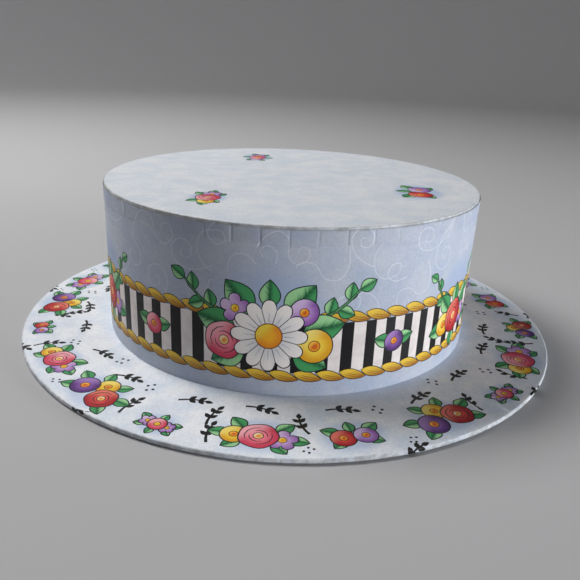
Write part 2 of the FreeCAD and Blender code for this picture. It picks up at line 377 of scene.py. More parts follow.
def lay_ribbon(marks):
    """A white band with black stripes, each as wide as half its step."""
    lay(marks, "white_stripe", box_outline(-HALF_STRIP, RIBBON_LOW, HALF_STRIP, RIBBON_HIGH), spot())
    for third in (-1, 0, 1, 2):
        turned = 120 * third - STRIPES_BEGIN
        for step in STRIPE_DEGREES:
            wide = radians(step) * SIDE_RADIUS / 4
            stripe = box_outline(-wide, RIBBON_LOW, wide, RIBBON_HIGH)
            if abs(turned) < HALF_STRIP_DEGREES:
                lay(marks, "black", stripe, spot(radians(turned) * SIDE_RADIUS))
            turned += step


def lay_rope(marks, height):
    """A twisted cord: slanting strands with pointed ends, each over the one before."""
    pitch = AROUND / ROPE_LOBES
    for i in range(-ROPE_LOBES // 2 - 1, ROPE_LOBES // 2 + 2):
        where = spot((i - 0.62) * pitch, height + 2.1, -15, pitch * 1.26)
        lay_lined(marks, "rope", leaf_outline(0.18, 0.8, 7), where, 0.5, "rope_line")
        for aside in (-0.08, 0.0):
            hatch = [Vector((t, aside * sin(pi * t) ** 0.6)) for t in (0.3 + aside, 0.5, 0.7, 0.9 + aside)]
            lay_path(marks, "rope_hatch", path_on(where, hatch), lambda t: 0.16 + 0.26 * t)


def lay_wash(marks, x, y, radius, stretch=1.0):
    """A soft blue shade round a motif."""
    lay(marks, "side_wash", round_outline(24), spot(x, y, 0, radius, stretch))


# %% The bunches round the wall
LARGE_BUNCH = [
    *leaf_pair(9, 12, 50, 22), *leaf_pair(18, 3, 12, 22), *leaf_pair(13, -9, -26, 20),
    ("leaf", 0, 16, 90, 15),
    ("rose", -24, -5, 0, 10.5, "petal_pink"), ("button", 24, -5, 0, 9.6, "petal_yellow"),
    ("star", -18, 14, 20, 8.0), ("button", 18, 14, 0, 7.4, "petal_lilac"),
    ("daisy", 0, 0, 0, 20.0),
]
SMALL_BUNCH = [
    *leaf_pair(8, 7, 46, 15), *leaf_pair(13, -2, -10, 14), ("leaf", 0, 9, 90, 13), ("leaf", 0, -8, -90, 11),
    ("button", -13, -1, 0, 7.0, "petal_yellow"), ("star", 13, -1, 0, 7.4),
    ("rose", 0, 1, 0, 10.4, "petal_red"),
]


def lay_large_bunch(marks, x):
    for side in (-1, 1):
        lay_twig(marks, spot(x + side * 20, 45), side, 27, 16)
    lay_spray(marks, spot(x, 35), LARGE_BUNCH)


def lay_small_bunch(marks, x):
    for side in (-1, 1):
        lay_twig(marks, spot(x + side * 5, 38), side, 20, 20)
    lay_spray(marks, spot(x, 28.5), SMALL_BUNCH)


def lay_ribbon_flower(marks, x, ink):
    """One round flower between two leaves, half way up the ribbon."""
    flower = [*leaf_pair(2, 0, 14, 11), ("button", 0, 0, 0, 6.0, ink)]
    lay_spray(marks, spot(x, (RIBBON_LOW + RIBBON_HIGH) / 2), flower)


# %% The whole wall
BUNCH_OFFSET = -8.8     # in mm along the wall, a little to the left of the front


def tab_drop(i):
    """How far a tab of the top's paper reaches down the wall. No two neighbours are the same."""
    return TAB_DROP - 1.6 * abs(sin(2.4 * (i % TOP_TABS)))


def wall_print():
    marks = []
    dice = random.Random(7)
    pitch = AROUND / TOP_TABS
    # A darker ground over each tab: partly the glued tab showing through, partly painted shade where the
    # paper slopes off the tab.
    for i in range(-TOP_TABS // 2 - 1, TOP_TABS // 2 + 1):
        tab = box_outline(0.25, SIDE_HEIGHT - tab_drop(i) + 0.6, pitch - 0.25, SIDE_HEIGHT + 1)
        lay(marks, "tab_ground", tab, spot(i * pitch))
    for row, height in enumerate((56.0, 72.0, 86.0)):
        count = 20
        for i in range(count):
            x = AROUND * ((i + 0.5 * (row % 2)) / count - 0.5) + dice.uniform(-3, 3)
            turn = dice.choice((-38, 0, 40, 165, 200, 240)) + dice.uniform(-16, 16)
            where = spot(x, height + dice.uniform(-3, 3), turn, dice.uniform(0.8, 1.1))
            lay_curl(marks, where, dice.randrange(len(CURLS)), dice.choice((-1, 1)))
    third = AROUND / 3
    for i in (-1, 0, 1, 2):
        x = i * third + BUNCH_OFFSET
        lay_wash(marks, x, 46, 36, 0.8)
        lay_wash(marks, x + third / 2, 42, 27, 1.0)
    lay_ribbon(marks)
    for height in ROPE_HEIGHTS:
        lay_rope(marks, height)
    for i in (-1, 0, 1, 2):
        x = i * third + BUNCH_OFFSET
        lay_large_bunch(marks, x)
        lay_small_bunch(marks, x + third / 2)
        lay_ribbon_flower(marks, x + 0.28 * third, "petal_purple")
        lay_ribbon_flower(marks, x + 0.72 * third, "petal_pink")
    return marks


# %% [markdown]
# ## The prints on the brim and the top
#
# The brim has a ring of bouquets near its edge, with black sprigs and dots strewn between. Some sprigs run
# over the edge, because the sheet was printed before it was folded. The top has three smaller ones.

# %% Bouquets
BOUQUETS = (
    [*leaf_pair(8, 5, 46, 11), *leaf_pair(15, 0, -4, 10), *leaf_pair(8, -5, -40, 10),
     ("button", -12, -1, 0, 6.6, "petal_yellow"), ("star", 12, -1, 20, 7.6),
     ("rose", 0, 0, 0, 9.6, "petal_pink")],
    [*leaf_pair(7, 3, 32, 11), *leaf_pair(6, -3, -34, 10), ("leaf", 0, 4, 90, 9),
     ("button", -6.5, -1, 0, 7.0, "petal_red"), ("button", 6.5, -1, 0, 6.6, "petal_lilac")],
    [*leaf_pair(14, 3, 18, 10), *leaf_pair(12, -5, -30, 10), *leaf_pair(5, 9, 56, 9),
     ("button", 0, 7, 0, 6.4, "petal_yellow"), ("button", -9.5, -1.5, 0, 7.8, "petal_purple"),
     ("rose", 8.5, -1.5, 0, 8.4, "petal_red")],
    [*leaf_pair(11, 3, 24, 10), *leaf_pair(10, -4, -28, 9), ("leaf", 0, 6, 90, 9), ("leaf", 0, -6, -90, 9),
     ("star", -10, 0, 10, 7.0), ("star", 10, 0, 46, 7.0),
     ("button", 0, 0, 0, 7.8, "petal_pink", "heart_yellow")],
)


def lay_bouquet(marks, where, kind, line=0.7, wash="wash"):
    """One of four bouquets on a soft blue shade, about 40 mm wide for a size of 1."""
    lay(marks, wash, round_outline(28), where @ spot(0, 0, 0, 23, 0.74))
    lay_spray(marks, where, BOUQUETS[kind], line)


def around(bearing, radius, turn=0.0, size=1.0):
    """A place on a round sheet: degrees from the front and a radius. Its own up points to the middle."""
    a = radians(bearing)
    return spot(radius * sin(a), -radius * cos(a), bearing + turn, size)


# %% The brim and the top
# Each bouquet on the brim: its bearing in degrees, its kind and its size.
BRIM_BOUQUETS = (
    (-4, 0, 1.0), (13, 1, 0.9), (32, 2, 1.0), (49, 3, 0.6), (66, 0, 1.0), (84, 2, 0.72), (102, 1, 0.9),
    (119, 3, 0.95), (137, 0, 1.0), (155, 1, 0.7), (172, 2, 1.0), (190, 3, 0.9), (207, 0, 0.72), (223, 2, 1.0),
    (240, 1, 0.95), (256, 3, 0.9), (272, 2, 0.95), (287, 1, 0.6), (304, 0, 0.9), (321, 2, 1.0), (338, 3, 0.6),
)
SPRIG_SIZE = 0.72


def brim_print():
    """Bouquets with sprigs and dots between them. The bouquets are printed last, over the sprigs."""
    marks, bouquets = [], []
    dice = random.Random(4)
    about = lambda value, by: value + dice.uniform(-by, by)
    for i, (bearing, kind, size) in enumerate(BRIM_BOUQUETS):
        radius = 158 if size > 0.8 else 163
        lay_bouquet(bouquets, around(bearing, radius, about(0, 9), size), kind)
        following = BRIM_BOUQUETS[(i + 1) % len(BRIM_BOUQUETS)]
        between = bearing + (following[0] - bearing) % 360 / 2
        if size + following[2] < 1.75:
            lay_sprig(marks, around(between + 0.6, about(158, 3), about(80, 24), SPRIG_SIZE))
        else:
            lay_dots(marks, around(between, 168, dice.uniform(0, 90), 0.8))
        lay_sprig(marks, around(about(bearing, 3), 136 + dice.uniform(-2, 3), about(0, 18), SPRIG_SIZE))
        if i % 2:
            lay_dots(marks, around(about(between, 2), about(141, 4), dice.uniform(0, 90)))
            lay_sprig(marks, around(about(between - 3, 3), 177, about(0, 50), SPRIG_SIZE))
        elif i % 4 == 0:
            lay_sprig(marks, around(about(between, 1), about(145, 2), dice.uniform(66, 112), SPRIG_SIZE))
        else:
            lay_dots(marks, around(bearing + 9, 129, dice.uniform(0, 90)))
    return marks + bouquets


def top_print():
    """Three bouquets, all turned the same way."""
    marks = []
    for bearing, radius, size, kind in ((-35.5, 81, 0.72, 0), (-159.5, 77, 0.75, 3), (70.3, 83, 1.05, 1)):
        lay_bouquet(marks, around(bearing, radius, 84 - bearing, size), kind, 0.55, "top_wash")
    return marks


# %% [markdown]
# ## From a print to a folded sheet
#
# The outlines are cut into the sheet itself, so that an ink is a set of the sheet's own faces and its edge
# stays sharp at any distance. Blender's constrained triangulation does the cutting: it takes all outlines at
# once, however they overlap, and says for each triangle which of them cover it. The last one printed wins.
#
# The flat sheet is then given its thickness and folded along a path: straight runs and round bends, from
# the middle or the upper edge of the sheet to its turned-in hem.

# %% A path to fold along
class FoldPath:
    """A section made of straight runs and bends. It starts at a radius and a height, in a direction."""

    def __init__(self, radius, height, heading):
        self.steps = [(0.0, Vector((radius, height)), radians(heading), 0.0)]
        self.length = 0.0

    def run(self, length):
        return self._add(length, 0.0)

    def bend(self, radius):
        """A right-angled bend to the right, seen with the radius to the right and the height up."""
        return self._add(radius * pi / 2, -1 / radius)

    def _add(self, length, curvature):
        start, place, heading, _ = self.steps[-1]
        self.steps[-1] = (start, place, heading, curvature)
        self.length += length
        end = self._at(self.steps[-1], length)[0]
        self.steps.append((self.length, end, heading + curvature * length, 0.0))
        return self

    def _at(self, step, further):
        _, place, heading, curvature = step
        if abs(curvature) < 1e-9:
            return place + Vector((cos(heading), sin(heading))) * further, heading
        turned = heading + curvature * further
        return place + Vector((sin(turned) - sin(heading), cos(heading) - cos(turned))) / curvature, turned

    def at(self, distance):
        """The radius and height at a distance along the path, and the direction outwards from the paper."""
        step = next((s for s in reversed(self.steps[:-1]) if s[0] <= distance), self.steps[0])
        place, heading = self._at(step, distance - step[0])
        return place, Vector((-sin(heading), cos(heading)))

    def creases(self, bend_steps=4):
        """The distances that need a line of points: both ends of every bend, and a few between."""
        found = []
        for step, following in zip(self.steps, self.steps[1:]):
            if abs(step[3]) > 1e-9:
                found += [step[0] + (following[0] - step[0]) * i / bend_steps for i in range(bend_steps + 1)]
        return found


# %% Cut the outlines into a flat sheet
def inside_outline(points, p):
    """Whether a point is in an outline, by counting the sides that a line from it crosses."""
    crossed = False
    for a, b in zip(points, points[1:] + points[:1]):
        if (a.y > p.y) != (b.y > p.y) and p.x < a.x + (b.x - a.x) * (p.y - a.y) / (b.y - a.y):
            crossed = not crossed
    return crossed


def flat_sheet(outline, marks, lines, ground, ink_names):
    """A flat bmesh of the sheet, with an ink on each face, and each corner's place in its motif as a UV."""
    points, faces, edges = [], [], []
    for shape in [outline] + [mark[1] for mark in marks]:
        faces.append(list(range(len(points), len(points) + len(shape))))
        points += shape
    for line in lines:
        edges += [(len(points) + i, len(points) + i + 1) for i in range(len(line) - 1)]
        points += line
    spots, _, triangles, _, _, covers = delaunay_2d_cdt(points, edges, faces, 1, 0.004)
    bm = bmesh.new()
    art = bm.loops.layers.uv.new("print")
    verts = [bm.verts.new((p.x, p.y, 0)) for p in spots]
    still = Matrix.Identity(3)
    for corner, cover in zip(triangles, covers):
        if 0 not in cover:
            continue
        middle = (spots[corner[0]] + spots[corner[1]] + spots[corner[2]]) / 3
        printed = (i for i in sorted(cover, reverse=True) if i and inside_outline(marks[i - 1][1], middle))
        top = next(printed, 0)
        ink, _, back = marks[top - 1] if top else (ground, None, still)
        if ink == "cut":
            continue
        face = bm.faces.new([verts[i] for i in corner])
        face.material_index = ink_names.index(ink)
        for loop in face.loops:
            loop[art].uv = put(back, loop.vert.co)
    bmesh.ops.delete(bm, geom=[v for v in bm.verts if not v.link_faces], context="VERTS")
    bmesh.ops.recalc_face_normals(bm, faces=bm.faces)
    if bm.faces[:][0].normal.z < 0:
        bmesh.ops.reverse_faces(bm, faces=bm.faces)
    return bm


# %% Give the sheet its thickness and fold it
NEAR = 0.05


def folded_sheet(name, outline, marks, lines, ground, path, place_on, relief, thickness=PAPER):
    """A printed sheet, folded. place_on says how far a flat point is along the path and at what angle."""
    ink_names = [ground, "paper_back", "paper_edge"] + sorted({mark[0] for mark in marks} - {"cut", ground})
    bm = flat_sheet(outline, marks, lines, ground, ink_names)
    bmesh.ops.solidify(bm, geom=bm.faces[:], thickness=thickness)
    lift = max(v.co.z for v in bm.verts)
    for v in bm.verts:
        v.co.z -= lift
    bm.normal_update()
    bm.faces.index_update()
    bm.verts.index_update()
    sides = {}
    for face in bm.faces:
        sides[face.index] = 1 if face.normal.z > 0.5 else -1 if face.normal.z < -0.5 else 0
        if sides[face.index] < 1:
            face.material_index = 1 if sides[face.index] else 2
        face.smooth = True
    outwards = {}
    for v in bm.verts:
        distance, angle = place_on(v.co.x, v.co.y)
        section, normal = path.at(distance)
        rise, outwards_here = relief(distance, angle), Vector((sin(angle), -cos(angle), 0))
        along = outwards_here * normal.y - Vector((0, 0, normal.x))
        further = (relief(distance + NEAR, angle) - rise) / NEAR
        turned = (relief(distance, angle + NEAR / max(section.x, 1)) - rise) / NEAR
        outwards[v.index] = (outwards_here * normal.x + Vector((0, 0, normal.y)) - along * further
                             - Vector((cos(angle), sin(angle), 0)) * turned).normalized()
        section = section + normal * (v.co.z + rise)
        v.co = Vector((section.x * sin(angle), -section.x * cos(angle), section.y)) * MM
    mesh = bpy.data.meshes.new(name)
    bm.normal_update()
    normals = []
    for face in bm.faces:
        for loop in face.loops:
            side = sides[face.index]
            normals.append(tuple(outwards[loop.vert.index] * side) if side else tuple(face.normal))
    bm.to_mesh(mesh)
    bm.free()
    mesh.normals_split_custom_set(normals)
    sheet = bpy.data.objects.new(name, mesh)
    bpy.context.scene.collection.objects.link(sheet)
    for ink in ink_names:
        mesh.materials.append(INKS[ink])
    print(name, "inks:", len(ink_names), "faces:", len(mesh.polygons))
    return sheet


# %% [markdown]
# ## Paper and ink
#
# All surfaces are paper, board or ink on paper. Five effects are shared by several of them, so each is a
# node group: the fibre of the paper, an uneven ink, the watercolour ground, a patchy grey along a sheet's
# edge, and the coloured-pencil shading. The shading of a leaf has a group too, beside the one it is a
# variant of. The shader itself, a Principled BSDF, stays in each material.

# %% Helpers for node trees
def add(tree, kind, inputs=None, **settings):
    """A node with its settings, and its inputs set or linked by name or number."""
    node = tree.nodes.new(kind)
    for name, value in settings.items():
        setattr(node, name, value)
    for name, value in (inputs or {}).items():
        if isinstance(value, bpy.types.NodeSocket):
            tree.links.new(value, node.inputs[name])
        else:
            node.inputs[name].default_value = value
    return node


def new_group(name, inputs, outputs):
    """An empty node group with its sockets, and its inner input and output nodes."""
    tree = bpy.data.node_groups.new(name, "ShaderNodeTree")
    for label, value in inputs.items():
        kind = COLOUR if isinstance(value, tuple) else VALUE
        socket = tree.interface.new_socket(label, in_out="INPUT", socket_type=kind)
        socket.default_value = value
    for label, kind in outputs.items():
        tree.interface.new_socket(label, in_out="OUTPUT", socket_type=kind)
    return tree, tree.nodes.new("NodeGroupInput").outputs, tree.nodes.new("NodeGroupOutput").inputs


def mixed(tree, factor, a, b, blend="MIX"):
    """Two colours mixed. Each may be a colour or a socket."""
    return add(tree, "ShaderNodeMix", {0: factor, 6: a, 7: b}, data_type="RGBA", blend_type=blend).outputs[2]


def maths(tree, operation, a, b=0.0, c=0.0):
    return add(tree, "ShaderNodeMath", {0: a, 1: b, 2: c}, operation=operation).outputs[0]


def ramped(tree, value, low, high, to_low=0.0, to_high=1.0):
    """A value eased from one range to another."""
    inputs = {"Value": value, "From Min": low, "From Max": high, "To Min": to_low, "To Max": to_high}
    return add(tree, "ShaderNodeMapRange", inputs, interpolation_type="SMOOTHSTEP").outputs["Result"]


def speckle(tree, place, scale, detail, roughness=0.5):
    """A noise texture."""
    inputs = {"Vector": place, "Scale": scale, "Detail": detail, "Roughness": roughness}
    return add(tree, "ShaderNodeTexNoise", inputs).outputs[0]


def on_object(tree):
    return add(tree, "ShaderNodeTexCoord").outputs["Object"]


def on_motif(tree):
    """Where a point lies in its own motif."""
    return add(tree, "ShaderNodeUVMap", uv_map="print").outputs[0]


def parts_of(tree, vector):
    return add(tree, "ShaderNodeSeparateXYZ", {0: vector}).outputs


def length_of(tree, vector):
    return add(tree, "ShaderNodeVectorMath", {0: vector}, operation="LENGTH").outputs["Value"]


def colour(red, green, blue):
    """A colour given as it looks, from 0 to 255, made linear."""
    parts = [c / 255 for c in (red, green, blue)]
    return tuple(c / 12.92 if c <= 0.04045 else ((c + 0.055) / 1.055) ** 2.4 for c in parts) + (1.0,)


COLOUR, VALUE = "NodeSocketColor", "NodeSocketFloat"
WHITE = (1, 1, 1, 1)

# %% The fibre of the paper
tree, inside, outside = new_group(
    "paper fibre", {"Fibre scale": 1300.0}, {"Height": VALUE, "Roughness": VALUE})
place = on_object(tree)
fine = speckle(tree, place, inside["Fibre scale"], 3.0)
broad = speckle(tree, place, 160.0, 2.0)
tree.links.new(maths(tree, "MULTIPLY_ADD", broad, 0.8, fine), outside["Height"])
tree.links.new(ramped(tree, broad, 0.3, 0.7, 0.42, 0.54), outside["Roughness"])
fibre_group = tree

# %% An uneven ink
tree, inside, outside = new_group(
    "uneven ink", {"Dark": WHITE, "Light": WHITE, "Scale": 420.0}, {"Colour": COLOUR})
unevenness = ramped(tree, speckle(tree, on_object(tree), inside["Scale"], 3.0), 0.3, 0.7)
tree.links.new(mixed(tree, unevenness, inside["Dark"], inside["Light"]), outside["Colour"])
uneven_group = tree

# %% The watercolour ground
tree, inside, outside = new_group(
    "watercolour ground", {"Pale": WHITE, "Blue": WHITE, "Violet": WHITE, "Cloud scale": 60.0},
    {"Colour": COLOUR})
place = on_object(tree)
moved = add(tree, "ShaderNodeMapping", {"Vector": place, "Location": (0.3, 0.1, 0.2)}).outputs[0]
clouds = ramped(tree, speckle(tree, place, inside["Cloud scale"], 5.0, 0.62), 0.34, 0.66)
drifts = ramped(tree, speckle(tree, moved, inside["Cloud scale"], 3.0), 0.5, 0.75, 0.0, 0.7)
grain = ramped(tree, speckle(tree, place, 750.0, 2.0), 0.25, 0.75, 0.93, 1.05)
grain = add(tree, "ShaderNodeCombineColor", {0: grain, 1: grain, 2: grain}).outputs[0]
tone = mixed(tree, drifts, mixed(tree, clouds, inside["Pale"], inside["Blue"]), inside["Violet"])
tree.links.new(mixed(tree, 1.0, tone, grain, "MULTIPLY"), outside["Colour"])
ground_group = tree

# %% Greyed edges
GREY_EDGE_WIDTH = 0.0012

# Within 1.2 mm of a sheet's rim or upper edge, the colour is mixed towards grey in patches.
tree, inside, outside = new_group(
    "rubbed edge", {"Colour": WHITE, "Rim radius": 1.0, "Rim height": 1.0}, {"Colour": COLOUR})
place = on_object(tree)
level = add(tree, "ShaderNodeVectorMath", {0: place, 1: (1, 1, 0)}, operation="MULTIPLY").outputs[0]
to_rim = maths(tree, "SUBTRACT", inside["Rim radius"], length_of(tree, level))
to_top = maths(tree, "SUBTRACT", inside["Rim height"], parts_of(tree, place)[2])
at_rim = ramped(tree, to_rim, 0.0, GREY_EDGE_WIDTH, 1.0, 0.0)
at_top = ramped(tree, to_top, 0.0, GREY_EDGE_WIDTH, 1.0, 0.0)
patches = ramped(tree, speckle(tree, place, 170.0, 5.0, 0.7), 0.35, 0.65, 0.15, 0.65)
greyed = maths(tree, "MULTIPLY", maths(tree, "MAXIMUM", at_rim, at_top), patches)
tree.links.new(mixed(tree, greyed, inside["Colour"], colour(132, 130, 128)), outside["Colour"])
grey_edge_group = tree

# %% Coloured-pencil shading, from the heart of a motif to its rim
tree, inside, outside = new_group(
    "pencil shading", {"Heart": WHITE, "Rim": WHITE, "Light": WHITE, "Streaks": 9.0}, {"Colour": COLOUR})
art = on_motif(tree)
parts = parts_of(tree, art)
radius = length_of(tree, art)
bearing = maths(tree, "MULTIPLY", maths(tree, "ARCTAN2", parts[1], parts[0]), inside["Streaks"])
spoke = add(tree, "ShaderNodeCombineXYZ", {0: bearing, 1: radius}).outputs[0]
streaks = speckle(tree, spoke, 1.6, 2.0)
reach = maths(tree, "MULTIPLY_ADD", streaks, 0.5, maths(tree, "SUBTRACT", radius, 0.25))
tone = mixed(tree, ramped(tree, reach, 0.2, 0.95), inside["Heart"], inside["Rim"])
side = maths(tree, "MULTIPLY", maths(tree, "SUBTRACT", parts[1], parts[0]), 0.7)
lit = ramped(tree, maths(tree, "MULTIPLY_ADD", streaks, 0.3, side), 0.1, 0.95, 0.0, 0.75)
tree.links.new(mixed(tree, lit, tone, inside["Light"]), outside["Colour"])
pencil_group = tree

# %% Leaf shading, along the midrib
tree, inside, outside = new_group(
    "leaf shading", {"Dark": WHITE, "Middle": WHITE, "Light": WHITE}, {"Colour": COLOUR})
parts = parts_of(tree, on_motif(tree))
aside = maths(tree, "ABSOLUTE", parts[1])
slant = maths(tree, "MULTIPLY", maths(tree, "SUBTRACT", parts[0], maths(tree, "MULTIPLY", aside, 0.9)), 16.0)
ribs = speckle(tree, add(tree, "ShaderNodeCombineXYZ", {0: slant, 1: parts[1]}).outputs[0], 1.0, 2.0)
reach = maths(tree, "MULTIPLY_ADD", ribs, 0.2, maths(tree, "SUBTRACT", aside, 0.1))
tone = mixed(tree, ramped(tree, reach, -0.02, 0.16), inside["Dark"], inside["Middle"])
upper = ramped(tree, maths(tree, "MULTIPLY_ADD", ribs, 0.25, parts[1]), 0.12, 0.34, 0.0, 0.8)
tree.links.new(mixed(tree, upper, tone, inside["Light"]), outside["Colour"])
leaf_group = tree

# %% [markdown]
# ## The inks
#
# Every ink gets the paper's fibre as a faint bump and a slightly uneven gloss, so that black and gold look
# printed on the same sheet as the ground.

# %% One material for each ink
INKS = {}


def paper_material(name, make_colour, bump=0.1, fibre_scale=1300.0):
    """A paper or ink. make_colour takes the node tree and gives the socket of its colour."""
    material = bpy.data.materials.new(name)
    material.use_nodes = True
    tree = material.node_tree
    shader = tree.nodes["Principled BSDF"]
    shader.inputs["Specular IOR Level"].default_value = 0.3
    fibre = add(tree, "ShaderNodeGroup", {"Fibre scale": fibre_scale}, node_tree=fibre_group)
    bumps = {"Height": fibre.outputs["Height"], "Strength": bump, "Distance": 0.00008}
    tree.links.new(make_colour(tree), shader.inputs["Base Color"])
    tree.links.new(fibre.outputs["Roughness"], shader.inputs["Roughness"])
    tree.links.new(add(tree, "ShaderNodeBump", bumps).outputs[0], shader.inputs["Normal"])
    INKS[name] = material


def grouped(tree, group, values):
    """The colour that a node group gives for these values."""
    return add(tree, "ShaderNodeGroup", values, node_tree=group).outputs[0]


def flat_ink(name, dark, light, scale=420.0):
    """A plain ink, a little uneven."""
    values = {"Dark": colour(*dark), "Light": colour(*light), "Scale": scale}
    paper_material(name, lambda tree: grouped(tree, uneven_group, values))


def pencil_ink(name, heart, rim, light, streaks=9.0):
    """An ink shaded from the heart of its motif to the rim, and lit on one side."""
    values = {"Heart": colour(*heart), "Rim": colour(*rim), "Light": colour(*light), "Streaks": streaks}
    paper_material(name, lambda tree: grouped(tree, pencil_group, values))


# %% Grounds, curls and washes
def ground(pale, blue, violet, cloud_scale):
    colours = {"Pale": colour(*pale), "Blue": colour(*blue), "Violet": colour(*violet)}
    return colours | {"Cloud scale": cloud_scale}


SIDE_GROUND = ground((186, 193, 206), (171, 183, 204), (176, 181, 201), 48.0)
# The ground over the tabs is a little darker: the glued tabs showing through, and painted shade of the
# paper's slope over them.
TAB_GROUND_SHADED = ground((182, 189, 201), (167, 178, 199), (171, 175, 196), 48.0)
BRIM_GROUND = ground((238, 241, 246), (216, 226, 239), (227, 230, 241), 55.0)
TOP_GROUND = ground((228, 231, 235), (212, 220, 230), (219, 222, 232), 60.0)
NO_RIM = 1000.0


def ground_ink(name, values, rim_radius=NO_RIM, rim_height=NO_RIM):
    """A plain stretch of ground, greyer in patches along the sheet's edge."""
    def make_colour(tree):
        edge_greying = {"Colour": grouped(tree, ground_group, values)}
        edge_greying |= {"Rim radius": rim_radius * MM, "Rim height": rim_height * MM}
        return grouped(tree, grey_edge_group, edge_greying)
    paper_material(name, make_colour)


def wash_ink(name, values, shade, strength):
    """The ground, shaded towards the middle of its mark."""
    def make_colour(tree):
        wash = ramped(tree, length_of(tree, on_motif(tree)), 0.6, 1.0, strength, 0.0)
        return mixed(tree, wash, grouped(tree, ground_group, values), colour(*shade))
    paper_material(name, make_colour)


def curl_colour(tree):
    """The ground, made lighter."""
    return mixed(tree, 0.33, grouped(tree, ground_group, SIDE_GROUND), colour(240, 240, 244))


ground_ink("side_ground", SIDE_GROUND, rim_height=side_high.z)
ground_ink("tab_ground", TAB_GROUND_SHADED, rim_height=side_high.z)
ground_ink("brim_ground", BRIM_GROUND, rim_radius=BRIM_RADIUS)
ground_ink("top_ground", TOP_GROUND, rim_radius=TOP_RADIUS)
wash_ink("wash", BRIM_GROUND, (176, 196, 228), 0.6)
wash_ink("side_wash", SIDE_GROUND, (150, 170, 206), 0.6)
wash_ink("top_wash", TOP_GROUND, (176, 196, 226), 0.8)
paper_material("curl", curl_colour)

# %% Lines, stripes and creases
FLAT_INKS = (
    ("line", (12, 20, 28), (26, 34, 44)),
    ("black", (8, 8, 10), (18, 18, 21)),
    ("white_stripe", (222, 214, 213), (236, 230, 227), 160.0),
    ("heart_line", (92, 44, 20), (120, 60, 26)),
    ("rope_line", (46, 30, 14), (70, 44, 18)),
    ("rope_hatch", (126, 74, 20), (152, 92, 26)),
    ("leaf_line", (14, 58, 34), (22, 76, 46)),
    ("stem", (50, 108, 64), (92, 150, 98)),
    ("petal_grey", (168, 172, 180), (192, 195, 201)),
    ("petal_crease", (140, 92, 160), (160, 112, 178)),
)
for values in FLAT_INKS:
    flat_ink(*values)

# %% Petals and hearts
PENCIL_INKS = (
    ("daisy_white", (206, 208, 212), (240, 235, 232), (243, 238, 234), 6.0),
    ("petal_pink", (238, 128, 146), (204, 58, 86), (250, 192, 200)),
    ("petal_red", (226, 78, 70), (166, 22, 34), (242, 136, 116)),
    ("petal_yellow", (246, 214, 72), (220, 158, 30), (250, 236, 134)),
    ("petal_purple", (138, 92, 172), (82, 40, 112), (176, 140, 204)),
    ("petal_lilac", (190, 150, 212), (138, 88, 166), (226, 206, 236)),
    ("lavender", (200, 166, 214), (156, 108, 180), (228, 208, 236)),
    ("heart_yellow", (226, 150, 30), (240, 200, 50), (250, 226, 90), 4.0),
    ("heart_orange", (206, 92, 22), (238, 150, 40), (248, 196, 80), 4.0),
    ("heart_gold", (238, 172, 34), (226, 138, 32), (238, 224, 76), 7.0),
    ("heart_cream", (226, 134, 44), (244, 206, 130), (252, 238, 200), 4.0),
)
for values in PENCIL_INKS:
    pencil_ink(*values)


# %% Leaves and rope
def leaf_colour(tree):
    values = {"Dark": colour(24, 92, 54), "Middle": colour(66, 154, 92), "Light": colour(168, 218, 160)}
    return grouped(tree, leaf_group, values)


def rope_colour(tree):
    """Gold at the upper left of a strand, brown at its lower right, with hatching along it."""
    parts = parts_of(tree, on_motif(tree))
    along = {0: maths(tree, "MULTIPLY", parts[0], 2.2), 1: maths(tree, "MULTIPLY", parts[1], 26.0)}
    hatch = speckle(tree, add(tree, "ShaderNodeCombineXYZ", along).outputs[0], 1.3, 2.0)
    fall = maths(tree, "ADD", maths(tree, "MULTIPLY", parts[0], 0.7), maths(tree, "MULTIPLY", parts[1], -1.6))
    shade = ramped(tree, maths(tree, "MULTIPLY_ADD", hatch, 0.7, fall), 0.3, 1.15)
    return mixed(tree, shade, colour(232, 196, 64), colour(166, 108, 32))


paper_material("leaf", leaf_colour)
paper_material("rope", rope_colour)


# %% Papers and boards that are not printed
def board_colour(tree):
    """Grey-brown pulp with darker fibres and light specks."""
    place = on_object(tree)
    pulp = ramped(tree, speckle(tree, place, 220.0, 6.0, 0.7), 0.3, 0.7)
    cells = add(tree, "ShaderNodeTexVoronoi", {"Vector": place, "Scale": 650.0}).outputs["Distance"]
    tone = mixed(tree, pulp, colour(138, 130, 118), colour(170, 162, 148))
    return mixed(tree, ramped(tree, cells, 0.0, 0.16, 0.5, 0.0), tone, colour(96, 88, 78))


def kraft_colour(tree):
    """Brown paper with long fibres."""
    stretched = add(tree, "ShaderNodeMapping", {"Vector": on_object(tree), "Scale": (1, 1, 0.12)}).outputs[0]
    fibres = ramped(tree, speckle(tree, stretched, 900.0, 4.0), 0.3, 0.7)
    return mixed(tree, fibres, colour(160, 122, 80), colour(188, 150, 104))


paper_material("greyboard", board_colour, 0.5, 500.0)
paper_material("kraft_tape", kraft_colour, 0.25)
flat_ink("paper_back", (226, 224, 218), (236, 234, 229), 90.0)
flat_ink("paper_edge", (150, 146, 140), (186, 183, 178), 300.0)
flat_ink("white_paper", (228, 227, 222), (238, 237, 233), 70.0)
flat_ink("underside_paper", (218, 217, 211), (230, 229, 224), 60.0)
print("inks and papers:", len(INKS))

for entry in frame["record"]["subparts"]:
    finish = INKS.get(entry["material_slot"])
    if finish:
        nodes[entry["node"]].data.materials.clear()
        nodes[entry["node"]].data.materials.append(finish)

# %% [markdown]
# ## The wall sheet
#
# The wall's paper is one long strip. It starts under its own end at the back, runs round the crown, and laps
# over its beginning. Its lower margin turns in under the mouth and up inside. Its relief is what shows of
# the tabs underneath: the strip stands a little proud of each tab and sinks at the slits between them.

# %% Wrap the wall
MOUTH_BEND = 0.6
COLUMNS = 180         # lines of points round the strip, along which it bends
TAB_RISE = 0.22       # how far a tab underneath shows
EDGE_LIFT = 0.1       # how far the upper edge has come away
WALL_IN = SIDE_RADIUS - PAPER - BOARD

